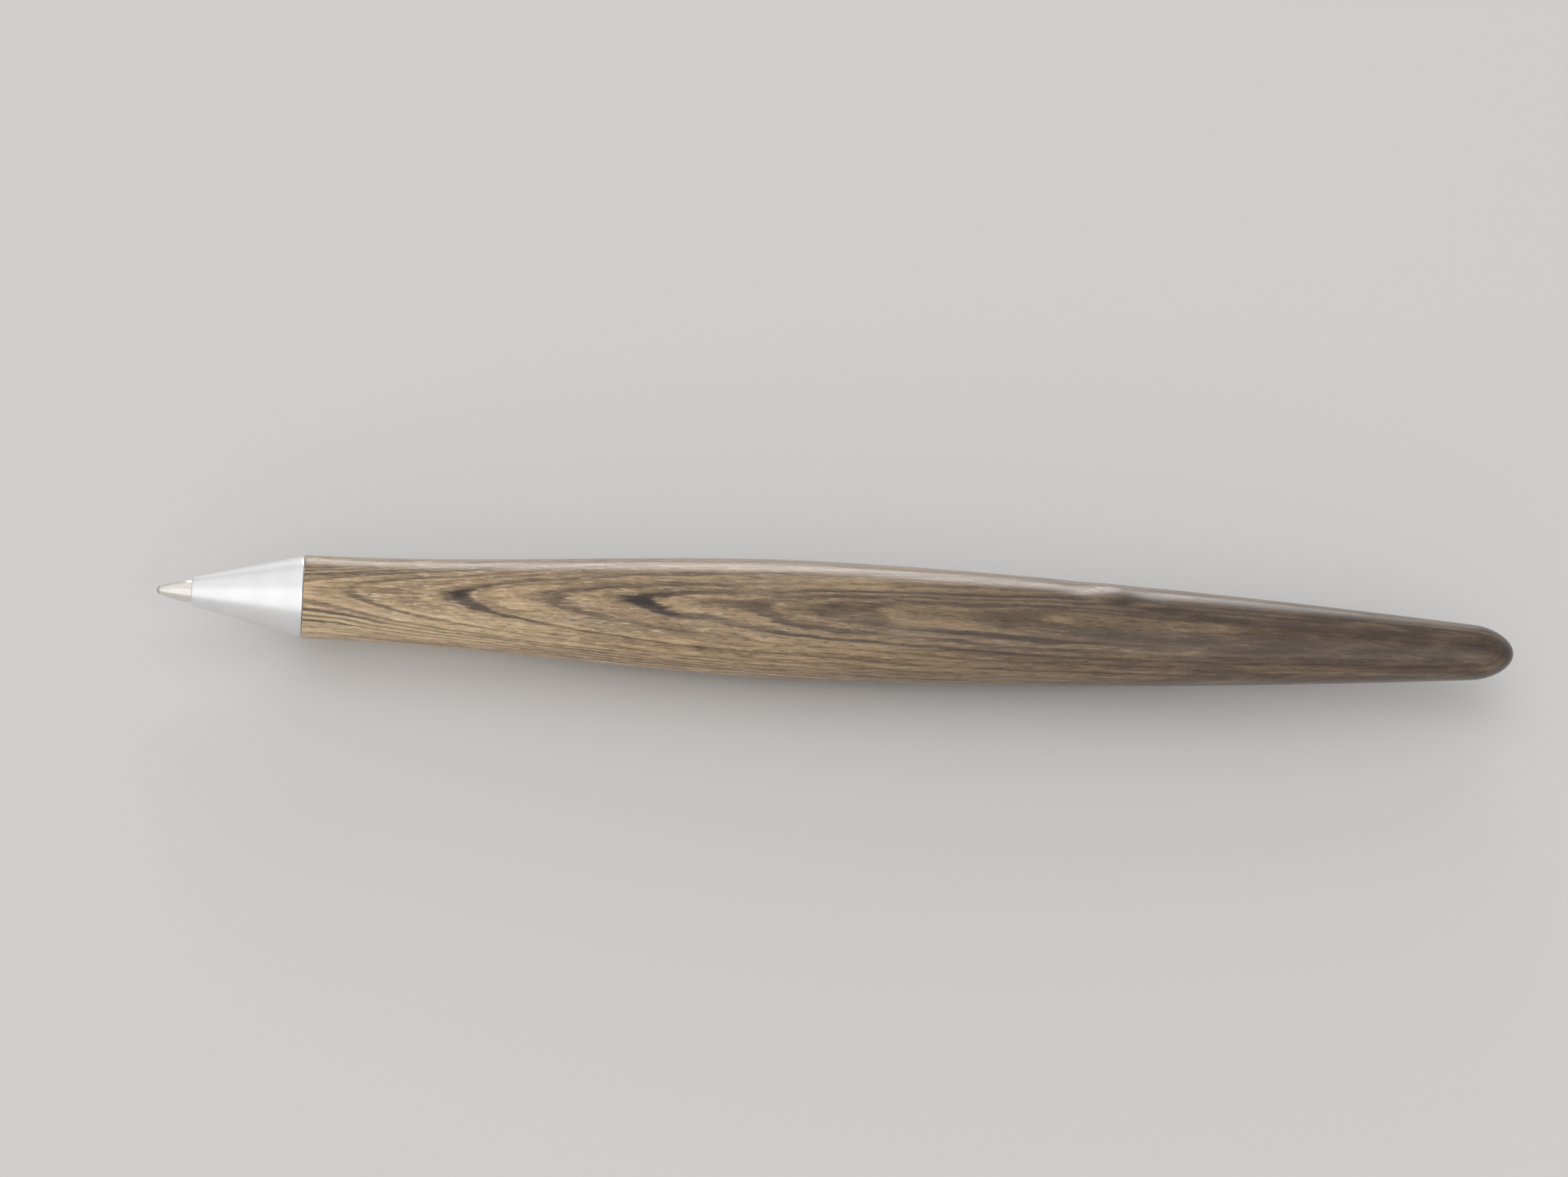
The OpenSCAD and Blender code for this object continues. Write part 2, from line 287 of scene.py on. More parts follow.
# %% Paint the room
wall_tint = (1.0, 0.99, 0.98, 1)
wall_seen, wall_light = 0.62, 0.54
room = bpy.data.worlds.new("room")
bpy.context.scene.world = room
room.use_nodes = True
net = room.node_tree
walls = net.nodes["Background"]
walls.inputs["Color"].default_value = wall_tint
ray = net.nodes.new("ShaderNodeLightPath").outputs
seen = ray["Is Camera Ray"]
for kind in ("Is Glossy Ray", "Is Transmission Ray"):
    either = net.nodes.new("ShaderNodeMath")
    either.operation = "MAXIMUM"
    net.links.new(seen, either.inputs[0])
    net.links.new(ray[kind], either.inputs[1])
    seen = either.outputs[0]
strength = net.nodes.new("ShaderNodeMapRange")
strength.inputs["To Min"].default_value = wall_light
strength.inputs["To Max"].default_value = wall_seen
net.links.new(seen, strength.inputs["Value"])
net.links.new(strength.outputs[0], walls.inputs["Strength"])
print("wall as seen:", wall_seen, "and as light:", wall_light)

# %% [markdown]
# ## Turning a piece
# Nearly every piece of this pen came off a lathe, so one helper does what a lathe does.
# It takes an outline of points, along and out, and carries it once around the axis.
# Where the outline meets the axis, a single point closes the end.
# Edges sharper than 35 degrees stay crisp, and everything else is shaded as one smooth skin.
# A screw modifier could turn an outline too, but the knot needs points on the skin that can be raised.

# %% The lathe
crisp_from = 35
on_axis = 1e-6


def finish_mesh(shape):
    """Faces all looking outwards, smooth skin, crisp edges."""
    work = bmesh.new()
    work.from_mesh(shape)
    bmesh.ops.recalc_face_normals(work, faces=work.faces)
    work.to_mesh(shape)
    work.free()
    shape.shade_smooth()
    shape.set_sharp_from_angle(angle=math.radians(crisp_from))


def turned(name, outline, facets, ring=False):
    """An object turned from (along, out) points in mm. With ring, the outline's end joins its start."""
    spots, rows = [], []
    for along, out in outline:
        count = facets if out > on_axis else 1
        rows.append([len(spots) + k for k in range(count)])
        spots += [on_pen(along, out, 360 * k / facets) for k in range(count)]
    faces = []
    next_rows = rows[1:] + rows[:1] if ring else rows[1:]
    for row, after in zip(rows, next_rows):
        for k in range(facets):
            m = (k + 1) % facets
            if len(row) == len(after) == facets:
                faces.append((row[k], row[m], after[m], after[k]))
            elif len(row) == facets:
                faces.append((row[k], row[m], after[0]))
            elif len(after) == facets:
                faces.append((row[0], after[m], after[k]))
    shape = bpy.data.meshes.new(name)
    shape.from_pydata(spots, [], faces)
    finish_mesh(shape)
    return into_scene(name, shape)


def dress(piece, finish, body, slot, *nodes):
    """Gives a new piece its finish and its body, and lets it stand for its solids. Its slot is not used."""
    piece.data.materials.clear()
    piece.data.materials.append(finish.material)
    if body:
        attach(piece, body)
    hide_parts(*nodes)
    print(piece.name, "has", len(piece.data.vertices), "points and stands for", nodes)


print("edges over", crisp_from, "degrees stay crisp")

# %% [markdown]
# ## The barrel's outline
# The barrel is one turned piece of wood: parallel for a few millimetres behind the cone, fullest near
# the middle, then a long taper to a closed, rounded tail.
# Two sweeps give that line: a soft S up to the belly, and a bend that falls ever faster from there on.
# A plain table of points could do it too, but a polished skin would show each point as a faint band.

# %% Draw the barrel's outline
wood_low, wood_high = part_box("barrel")
wood_front, tail_end = behind_front(wood_low.x), behind_front(wood_high.x)
swell_from, belly_at, tail_from = wood_front + 3.0, 68.5, tail_end - 4.5
front_out, belly_out, tail_out = 4.35, 6.35, 3.0
taper_bend = 1.65
front_edge = 0.15
ring_step, edge_rings, tail_rings = 0.5, 6, 28


def wood_out(along):
    """How far the wood's skin is from the axis, in mm."""
    if along < belly_at:
        t = max(0.0, (along - swell_from) / (belly_at - swell_from))
        return front_out + (belly_out - front_out) * t * t * (3 - 2 * t)
    return belly_out - (belly_out - tail_out) * ((along - belly_at) / (tail_from - belly_at)) ** taper_bend


quarter = math.pi / 2
skin_line = [
    (wood_front + front_edge * (1 - math.cos(bend)), front_out - front_edge * (1 - math.sin(bend)))
    for bend in np.linspace(0, quarter, edge_rings)
]
rings_along = np.arange(wood_front + ring_step, tail_from, ring_step)
skin_line += [(float(along), wood_out(along)) for along in rings_along]
for bend in np.linspace(0, quarter, tail_rings):
    along = tail_from + (tail_end - tail_from) * math.sin(bend)
    skin_line.append((along, wood_out(along) * math.cos(bend)))
skin_line[-1] = (tail_end, 0.0)
print(len(skin_line), "rings from", round(wood_front, 3), "to", round(tail_end, 3), "mm")

# %% [markdown]
# ## Against the solid
# A drawn line is only right if it meets the measured one.
# The solid's points lie in rings, so for each of them we ask how far our line is from it.
# The drilled hole's points are left out: they lie before the drill's tip, and further in than the skin.

# %% Compare with the solid
hole_out, hole_end, drill_tip = 3.92, 109.1, 111.46
clear_of_hole = 0.1
skin_least = hole_out + clear_of_hole
solid = np.array([tuple(vertex.co) for vertex in frame["nodes"]["barrel"].data.vertices])
solid_along = behind_front(solid[:, 0])
solid_out = np.hypot(solid[:, 1], solid[:, 2] - axis_height) / MM
outside = (solid_out > skin_least) | (solid_along > drill_tip + clear_of_hole)
on_skin = outside & (solid_along > wood_front + front_edge) & (solid_along < tail_from)
miss = [abs(wood_out(along) - out) for along, out in zip(solid_along[on_skin], solid_out[on_skin])]
print("largest distance between line and solid:", round(max(miss), 4), "mm over", len(miss), "points")

# %% [markdown]
# ## The barrel's skin
# Now the skin itself: the outside, the front face and the drilled hole, turned as one closed piece.
# On the far upper side, about 100 mm back, the wood has a small pin knot, the foot of a twig.
# A knot is harder than the wood beside it, so sanding leaves it a hair proud, with a shallow hollow
# before it and another behind it.
# It shows at the edge of the barrel, so we shape it in the mesh rather than only shade it.
# A turner can hold the blank at any turn, and that turn decides on which side knot and grain come out.

# %% Turn the barrel
hole_line = [(drill_tip, 0.0), (hole_end, hole_out), (wood_front, hole_out)]
barrel = turned("turned_barrel", skin_line + hole_line, facets=128, ring=True)
print("barrel has", len(barrel.data.polygons), "faces")

# %% Raise the knot
blank_turn = 13.9
knot_along, knot_on_blank = 99.6, 104.0
knot_turn = knot_on_blank + blank_turn
least_lift = 0.002
# each form's height, shift along, half length and half width in mm: knot, hollow before, hollow behind
knot_forms = [(0.14, 0.6, 1.6, 1.5), (-0.16, -3.0, 2.2, 2.4), (-0.07, 4.6, 2.0, 2.0)]


def knot_relief(along, turn, out):
    """Height of the skin around the knot, in mm."""
    side = math.radians(turn - knot_turn) * out
    lift = 0.0
    for height, shift, half_long, half_wide in knot_forms:
        past = along - knot_along - shift
        lift += height * math.exp(-((past / half_long) ** 2) - (side / half_wide) ** 2)
    return lift


moved = 0
for vertex in barrel.data.vertices:
    along = behind_front(vertex.co.x)
    far, up = vertex.co.y / MM, (vertex.co.z - axis_height) / MM
    out, turn = math.hypot(far, up), math.degrees(math.atan2(up, -far))
    lift = knot_relief(along, turn, out) if out > skin_least else 0.0
    if abs(lift) > least_lift:
        vertex.co = on_pen(along, out + lift, turn)
        moved += 1
print("points moved for the knot:", moved)

# %% [markdown]
# ## How the grain runs
# Grain is a solid pattern: growth layers lie through the wood, and the turned skin cuts across them.
# Where the skin just grazes a layer it shows as an arch, and the arches here all point towards the tip.
# So we describe the layers and let the skin do the cutting.
# They are nearly flat sheets that face the near upper side and lean slowly backwards along the pen.
# Painting lines on the skin would be quicker, but they would not meet on the far side.

# %% Layers in the wood
wood = Finish("waxed_wood", Coat_Weight=1.0, Coat_Roughness=0.25, Specular_IOR_Level=0.08)
blank = {"Vector": wood.place(), "Rotation": (math.radians(blank_turn), 0, 0)}
spot = wood.add("Mapping", blank).outputs[0]
behind_ball = wood.add("SeparateXYZ", {0: spot}).outputs[0]
layer_side = math.radians(52)
across_layers = wood.reach(spot, (0, -math.cos(layer_side), math.sin(layer_side)))
past_arch = wood.reach(spot, (0, math.sin(layer_side), math.cos(layer_side)))
print("layers face", round(math.degrees(layer_side) + blank_turn, 1), "degrees up from the near side")

# %% [markdown]
# ## How the layers lean
# A curve tells by how much the layers have risen at each place along the pen.
# Where it is steep the arches lie close together, and where it is level they stretch out.
# Above the middle of the arches the layers also bend down a little, so the upper limbs lie flatter.

# %% Lean the layers
most_lean = 10.0
lean_marks = [
    (0, 0.0), (15, 0.0), (25, 0.78), (32, 1.12), (40, 1.45), (50, 1.60),
    (60, 1.58), (70, 1.78), (80, 2.24), (100, 3.20), (145, 5.35),
]
pen_long = lean_marks[-1][0]
lean_node = wood.add("FloatCurve", {"Value": wood.sums("DIVIDE", behind_ball, pen_long)})
lean_curve = lean_node.mapping.curves[0]
for mark, lean in lean_marks[1:-1]:
    lean_curve.points.new(mark / pen_long, lean / most_lean)
for end in (0, -1):
    mark, lean = lean_marks[end]
    lean_curve.points[end].location = (mark / pen_long, lean / most_lean)
lean_node.mapping.update()
bent_down = wood.spread(past_arch, 0.0, 3.0, 0.0, 0.95)
layers = wood.sums("MULTIPLY_ADD", lean_node.outputs[0], most_lean, across_layers)
layers = wood.sums("SUBTRACT", layers, bent_down)
print("lean curve has", len(lean_curve.points), "marks")

# %% [markdown]
# ## Living wood wavers
# No layer is a true plane. A broad cloud bends them as the tree grew, and a fine one frays them
# along the fibres.
# Around the knot they part, as water does around a stone: a soft bump in the layer count does that.

# %% Let the layers waver
waver = wood.cloud(wood.stretched(spot, 0.09, 0.42), detail=2.0)
fray = wood.cloud(wood.stretched(spot, 0.45, 5.0), detail=3.0, rough=0.6)
layers = wood.sway(layers, waver, 0.55)
layers = wood.sway(layers, fray, 0.22)


def on_blank(along, out, turn):
    """A place in the blank, in mm, as the wood's finish counts it."""
    return (on_pen(along, out, turn) - on_pen(0)) / MM


knot_heart = on_blank(knot_along, 5.0, knot_on_blank)
knot_cloud = wood.cloud(wood.stretched(spot, 0.5, 0.9), detail=3.0)
from_knot = wood.sway(wood.away_from(spot, knot_heart, 0.42), knot_cloud, 1.6)
layers = wood.sums("ADD", layers, wood.spread(from_knot, 0.0, 3.6, 1.1, 0.0))
print("knot heart in mm:", [round(c, 2) for c in knot_heart])

# %% [markdown]
# ## Dark lines of the growth rings
# Each year the wood grew paler, then darker, then stopped.
# The list gives the rings that the near side shows: where each lies, how dark it is, and how thick
# its dark wood is.
# From it come two bands of grey: a crisp line for each ring, and a softer shade before it.
# The same few rings are wrapped round and round through the rest of the wood, as rings do repeat.

# %% Draw the ring lines
first_layer, last_layer = 4.40, 8.80
ring_lines = [
    (4.77, 0.60, 0.10), (5.79, 1.00, 0.11), (6.74, 0.60, 0.10), (7.38, 1.00, 0.12),
    (7.80, 0.70, 0.12), (8.21, 0.80, 0.14), (8.55, 0.60, 0.12),
]
line_starts, line_ends = 0.06, 0.05
shade_steps = (-0.30, -0.10, 0.02, 0.08)


def ring_stops(layer, dark, steps):
    """Four stops of a band of greys, which rises to a ring's darkness and falls again."""
    span = last_layer - first_layer
    greys = (0.0, dark, dark, 0.0)
    return [((layer + step - first_layer) / span, grey) for step, grey in zip(steps, greys)]


line_stops, shade_stops = [(0.0, 0.0)], [(0.0, 0.0)]
for layer, dark, thick in ring_lines:
    line_stops += ring_stops(layer, dark, (-thick - line_starts, -thick, 0.0, line_ends))
    shade_stops += ring_stops(layer, dark, shade_steps)
line_stops.append((1.0, 0.0))
shade_stops.append((1.0, 0.0))
wrapped = wood.sums("WRAP", layers, last_layer, first_layer)
ring_place = wood.add("MapRange", {0: wrapped, 1: first_layer, 2: last_layer}).outputs[0]
ring_line = wood.shades(ring_place, line_stops)
ring_shade = wood.shades(ring_place, shade_stops)
print(len(line_stops), "stops for", len(ring_lines), "rings")

# %% [markdown]
# ## Eyes and limbs of the arches
# Where an arch turns, its dark wood is cut at the flattest angle and opens into an eye.
# Below the eye a limb runs on as a crisp line, and above it the limb is broad and soft.
# past_arch tells how far a point is from the middle of the arches, and the eyes sit just below it.
# So it can thin the crisp lines and spread the soft shade. A slow cloud makes both fade here and there.

# %% Thin the crisp lines
eye_below, eye_half = 0.3, 1.5
from_eye = wood.sums("ABSOLUTE", wood.sums("ADD", past_arch, eye_below))
fading = wood.cloud(wood.stretched(spot, 0.07, 0.5), detail=2.0)
patchy = wood.spread(fading, 0.34, 0.56, 0.46, 1.0)
paler_far_off = wood.spread(from_eye, 1.6, 4.5, 1.0, 0.46)
paler_behind = wood.spread(behind_ball, 84, 122, 1.0, 0.45)
above = wood.spread(past_arch, 0.0, 1.8, 0.0, 0.65)
facing = wood.spread(across_layers, -1.0, 1.0)
line_strength = wood.times(patchy, paler_far_off, paler_behind)
line_strength = wood.times(line_strength, wood.sums("SUBTRACT", 1.0, wood.times(above, facing)))
print("eyes lie", eye_below, "mm below the arches' middle")

# %% Spread the soft shade
eye = wood.spread(from_eye, 0.2, eye_half, 0.95, 0.0)
limb_grows = wood.spread(past_arch, -0.3, 1.0, 0.12, 0.85)
limb_fades = wood.spread(past_arch, 1.2, 3.4, 1.0, 0.5)
shade_patchy = wood.spread(fading, 0.25, 0.6, 0.5, 1.0)
shade_behind = wood.spread(behind_ball, 90, 120, 1.0, 0.6)
shade_strength = wood.sums("MAXIMUM", eye, wood.times(limb_grows, limb_fades))
shade_strength = wood.times(shade_strength, shade_patchy, shade_behind)
crisp_dark, soft_dark = wood.times(ring_line, line_strength), wood.times(ring_shade, shade_strength)
ring_dark = wood.sums("MAXIMUM", crisp_dark, soft_dark)
print("eyes reach", eye_half, "mm up and down")

# %% [markdown]
# ## Fibres, streaks and pores
# Between the ring lines the wood isn't even: streaks follow the layers, fine fibres run along the pen, short
# open pores show as thin dark dashes, and painted glints show as short pale dashes where light would catch
# the surface.
# All four are clouds that are stretched along the grain.
# The streaks use the layers themselves as a direction, so that they bend with the arches.

# %% Streak the wood
streaks = wood.lines(wood.times(behind_ball, 0.05), wood.times(layers, 2.2), detail=4.0, rough=0.6)
fibres = wood.cloud(wood.stretched(spot, 0.38, 3.6), detail=5.0, rough=0.72)
mottle = wood.cloud(wood.stretched(spot, 0.13, 0.8), detail=3.0, rough=0.55)
pore_cloud = wood.cloud(wood.stretched(spot, 0.9, 8.0), detail=2.0)
pores = wood.spread(pore_cloud, 0.60, 0.70)
# Painted glints: short pale dashes along the fibres, where light would catch the surface.
glint_cloud = wood.cloud(wood.stretched(spot, 0.6, 4.6), detail=2.0, rough=0.6)
painted_glints = wood.times(wood.spread(glint_cloud, 0.56, 0.72), wood.spread(mottle, 0.40, 0.60, 0.25, 1.0))
print("streaks, fibres, pores and flecks are in")

# %% [markdown]
# ## Colour of the wood
# The ground is a warm tan that turns olive in places and brown towards the tail; that brown is partly the
# wood's own and partly painted shade for light that falls off towards the tail.
# Above the arches at the front it is darker: partly browner wood, partly painted shade where less light
# falls on the upper side. On the near side at the front it is painted paler, for the light that falls there,
# with fewer dark fibres.
# Over the ground go the dark fibres, the painted glints, the ring lines and the pores.
# Each is laid over the last by its own share, so a fibre still shows faintly through a ring line.

# %% Colour the ground
straw = (0.86, 0.67, 0.44, 1)
tan = (0.63, 0.44, 0.245, 1)
olive = (0.35, 0.232, 0.128, 1)
brown = (0.068, 0.040, 0.027, 1)
ground = wood.between(wood.spread(streaks, 0.38, 0.64), tan, olive)
ground = wood.between(wood.spread(fibres, 0.47, 0.30, 0.0, 0.85), ground, straw)
# Browner towards the tail: partly the wood's own colour, partly painted shade for the light falling off
# there.
tail_brown_and_shade = wood.spread(behind_ball, 10, 138, 0.0, 0.92)
ground = wood.between(wood.times(tail_brown_and_shade, wood.spread(mottle, 0.32, 0.62, 0.84, 1.09)), ground, brown)
# Darker above the arches at the front: partly browner wood, partly painted shade on the upper side.
upper_brown_and_shade = wood.spread(past_arch, 0.5, 2.0, 0.0, 0.28)
ground = wood.between(wood.times(upper_brown_and_shade, wood.spread(behind_ball, 35, 75, 1.0, 0.0)), ground, brown)
# Painted light: the near side at the front is made paler, as if more light fell on it.
below_arch = wood.spread(past_arch, -3.4, -1.2, 1.0, 0.0)
painted_light_near_side = wood.times(below_arch, wood.spread(across_layers, 0.6, 2.2))
painted_light_near_front = wood.times(painted_light_near_side, wood.spread(behind_ball, 16, 58, 1.3, 0.0))
ground = wood.between(wood.times(painted_light_near_front, 0.30), ground, straw)
print("ground is coloured")

# %% Colour fibres, flecks, lines and pores
dark_brown = (0.026, 0.014, 0.010, 1)
glint_pale = (0.82, 0.70, 0.58, 1)
# Fewer dark fibres where the painted light on the near side at the front lies.
fibre_most = wood.sums("MULTIPLY_ADD", painted_light_near_front, -0.4, 0.8)
ground = wood.between(wood.times(wood.spread(fibres, 0.48, 0.72), fibre_most), ground, brown)
# Painted glints, most at the front and fading towards the tail.
ground = wood.between(wood.times(painted_glints, wood.spread(behind_ball, 15, 100, 0.75, 0.06)), ground, glint_pale)
ground = wood.between(ring_dark, ground, dark_brown)
ground = wood.between(wood.times(pores, 0.5), ground, dark_brown)
print("wood is coloured")

# %% [markdown]
# ## Colour of the knot and the end
# Sap has stained the wood around the knot in long dark ovals that run along the grain.
# The knot itself is the twig cut across: a paler heart, partly the twig's own pale wood and partly a painted
# sheen on the raised knot, with thin rings of the twig's own years.
# Ovals and rings both come from the distance to a middle, roughened by a cloud so that no edge is even.
# The closed end of the barrel shows end grain, which drinks more polish and looks darker.

# %% Stain the wood by the knot
# each stain's place along, turn on the blank, half length and half height in mm, and darkness
stains = [
    (102.6, 88, 3.4, 1.4, 0.8), (100.4, 78, 3.2, 0.9, 0.8), (106.0, 71, 6.0, 0.8, 0.8),
    (111.5, 63, 7.0, 0.6, 0.7), (94.5, 80, 4.0, 0.6, 0.5),
]
for along, turn, half_long, half_high, dark in stains:
    middle = on_blank(along, wood_out(along), turn)
    away = wood.away_from(spot, middle, half_high / half_long)
    away = wood.sway(away, knot_cloud, half_high)
    stain = wood.spread(away, 0.15 * half_high, half_high, dark, 0.0)
    ground = wood.between(stain, ground, dark_brown)
print(len(stains), "stains by the knot")

# %% Colour the knot and the end grain
knot_pale_and_sheen = (0.50, 0.38, 0.31, 1)
years_per_mm = 9.5 / math.tau
heart_middle, heart_squeeze = on_blank(99.2, 5.4, 101), 0.72
from_heart = wood.away_from(spot, heart_middle, heart_squeeze)
year_cloud = wood.cloud(wood.stretched(spot, 0.6, 0.9), detail=0.0)
years = wood.sums("MULTIPLY_ADD", year_cloud, 1.6, from_heart)
year_rings = wood.sums("SINE", wood.times(years, math.tau * years_per_mm))
from_heart = wood.sway(from_heart, knot_cloud, 3.0)
# Paler heart of the knot: partly its own wood, partly a painted sheen where the raised knot catches the
# light.
ground = wood.between(wood.spread(from_heart, 0.2, 2.0, 0.5, 0.0), ground, knot_pale_and_sheen)
ring_share = wood.times(wood.spread(year_rings, -0.3, 1.0), wood.spread(from_heart, 0.3, 2.4, 0.5, 0.0))
ground = wood.between(ring_share, ground, dark_brown)
end_grain = wood.spread(behind_ball, tail_end - 3.5, tail_end - 0.4, 0.0, 0.75)
ground = wood.between(end_grain, ground, dark_brown)
wood.give(Base_Color=ground)
print("the knot has", round(years_per_mm, 2), "rings per mm")

# %% [markdown]
# ## Polish on the wood
# The barrel is sanded fine and waxed: smooth to the touch, with a soft sheen and a thin clear skin on top.
# Pores and fibres stay a little duller than the ground, and a trace of them stays in the surface.
# The shader's own coat is that clear skin, so one shader is enough and no second layer is needed.

# %% Polish the wood
dullness = wood.sums("MULTIPLY_ADD", pores, 0.15, wood.spread(fibres, 0.3, 0.75, 0.34, 0.50))
wood.give(Roughness=dullness)
grain_height = wood.sums("MULTIPLY_ADD", pores, -0.6, wood.times(fibres, -0.5))
wood.relief(grain_height, 0.03, 0.5)
dress(barrel, wood, "barrel", "turned_wood", "barrel")

# %% [markdown]
# ## The cone
# The cone is a plain straight cone of plated metal, with a small mouth for the point.
# Behind its base a thinner spigot carries a thread, which screws into the brass bush in the wood.
# We turn it from its outline, with small rounds at the mouth and at the base, because a plated edge
# is never knife-sharp.

# %% Draw the cone's outline
cone_low, cone_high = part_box("nose_cone")
mouth_at, spigot_end = behind_front(cone_low.x), behind_front(cone_high.x)
joint_gap = 0.06
base_at = wood_front - joint_gap
base_out = cone_high.y / MM
mouth_out, mouth_hole = 1.5, 1.25
spigot_out, spigot_hole, spigot_bevel = 3.30, 3.05, 0.1
seat_at, step_at, step_out = 12.48, 7.5, 1.85
cone_round = 0.12


def rounded(corner, before, after, size, parts=5):
    """Points of a small round that takes the place of a corner between two straight runs."""
    corner = Vector(corner)
    start = corner + (Vector(before) - corner).normalized() * size
    end = corner + (Vector(after) - corner).normalized() * size
    steps = np.linspace(0, 1, parts)
    return [tuple(start * (1 - t) ** 2 + corner * (2 * t * (1 - t)) + end * t * t) for t in steps]


hole_edge, mouth_edge = (mouth_at, mouth_hole), (mouth_at, mouth_out)
base_edge, base_root = (base_at, base_out), (base_at, spigot_out)
slope_steps = np.linspace(0.04, 0.96, 24)
slope = [tuple(Vector(mouth_edge).lerp(Vector(base_edge), t)) for t in slope_steps]
print("cone from", round(mouth_at, 2), "to", round(base_at, 2), "mm along")
print("its base is", round(2 * base_out, 2), "mm across")

# %% Turn the cone
cone_line = [hole_edge] + rounded(mouth_edge, hole_edge, base_edge, cone_round) + slope
cone_line += rounded(base_edge, mouth_edge, base_root, cone_round) + [base_root]
cone_line += [(spigot_end - spigot_bevel, spigot_out), (spigot_end, spigot_out - spigot_bevel)]
cone_line += [(spigot_end, spigot_hole), (seat_at, spigot_hole), (seat_at, step_out)]
cone_line += [(step_at, step_out), (step_at, mouth_hole)]
cone = turned("screw_cone", cone_line, facets=128, ring=True)
print("cone has", len(cone.data.vertices), "points")

# %% [markdown]
# ## The cone's thread
# The thread is a ridge that climbs one millimetre in each turn, four turns long.
# A lathe cuts it with one pointed tool, so its section is the same all along, and it fades out at both ends.
# We sweep that section along a helix and join it to the cone, so that both turn as one piece.

# %% Cut the thread
thread_from, thread_pitch, thread_turns = 16.3, 1.0, 4
thread_foot, thread_crest, thread_out = 0.42, 0.16, 3.55
thread_steps = 72
fade_steps = thread_steps / 6
foot_at, faded_at = spigot_out - 0.08, spigot_out - 0.04


def helix_ridge(shape, section, steps):
    """Adds a closed ridge to a mesh: section(i) gives (along, out, turn) points for each step."""
    work = bmesh.new()
    work.from_mesh(shape)
    rows = [[work.verts.new(on_pen(*p)) for p in section(i)] for i in range(steps + 1)]
    for row, after in zip(rows, rows[1:]):
        for k in range(len(row)):
            m = (k + 1) % len(row)
            work.faces.new((row[k], row[m], after[m], after[k]))
    work.faces.new(rows[0])
    work.faces.new(rows[-1])
    work.to_mesh(shape)
    work.free()
    finish_mesh(shape)


def thread_section(i):
    """The thread's four corners after i steps. It grows out of the spigot and sinks back into it."""
    turn = -360 * i / thread_steps
    middle = thread_from + thread_pitch * i / thread_steps
    grown = min(1.0, min(i, thread_steps * thread_turns - i) / fade_steps)
    crest_at = faded_at + (thread_out - faded_at) * grown
    return [
        (middle - thread_foot / 2, foot_at, turn), (middle - thread_crest / 2, crest_at, turn),
        (middle + thread_crest / 2, crest_at, turn), (middle + thread_foot / 2, foot_at, turn),
    ]


helix_ridge(cone.data, thread_section, thread_steps * thread_turns)
print("with its thread the cone has", len(cone.data.vertices), "points")

# %% [markdown]
# ## Satin plate
# Satin plate is bright metal with a very fine, even dullness from the brush that ran round it.
# Rings of slightly different dullness and a trace of the brush catch the light as a soft band.
# Handling polishes the two edges, so the plate is smoother at the mouth and at the base.

# %% Mix the satin plate
brush_per_mm = 26.0


def round_axis(finish, place):
    """How far along the pen a place is, and how far from its axis."""
    parts = finish.add("SeparateXYZ", {0: place}).outputs
    flat = finish.add("CombineXYZ", {1: parts[1], 2: parts[2]}).outputs[0]
    far = finish.add("VectorMath", {0: flat}, operation="LENGTH").outputs["Value"]
    return parts[0], far


plate = Finish("satin_plate", Metallic=1.0)
plate_spot = plate.place()
plate_along, plate_far = round_axis(plate, plate_spot)
brush_along, brush_far = plate.times(plate_along, brush_per_mm), plate.times(plate_far, brush_per_mm)
brush = plate.lines(brush_along, brush_far, detail=3.0, rough=0.6)
smudge = plate.cloud(plate_spot, scale=0.45, detail=3.0)
plate_tone = plate.between(plate.spread(smudge, 0.3, 0.75), (0.88, 0.88, 0.885, 1), (0.83, 0.83, 0.84, 1))
near_base = plate.spread(plate_along, base_at - 0.4, base_at - 0.1)
near_mouth = plate.spread(plate_along, mouth_at + 0.3, mouth_at + 0.05)
plate_dull = plate.sway(plate.spread(brush, 0.25, 0.75, 0.31, 0.39), smudge, 0.08)
plate_dull = plate.sums("MULTIPLY_ADD", plate.sums("MAXIMUM", near_base, near_mouth), -0.08, plate_dull)
plate.give(Base_Color=plate_tone, Roughness=plate_dull)
plate.relief(brush, 0.003, 0.35)
dress(cone, plate, "cone", "satin_chrome", "nose_cone")

# %% [markdown]
# ## The point
# The point is the bare front of the refill: a small turned piece of nickel silver, slightly warmer
# than the plate.
# It has a straight shank, a gentle cone, a steeper cone, and a thin lip that is rolled over the ball.
# The rolled lip is a small round, and the two cones meet in soft corners, as the tool left them.
# Inside are the socket that the ball rolls in and the narrow channel that brings the ink.

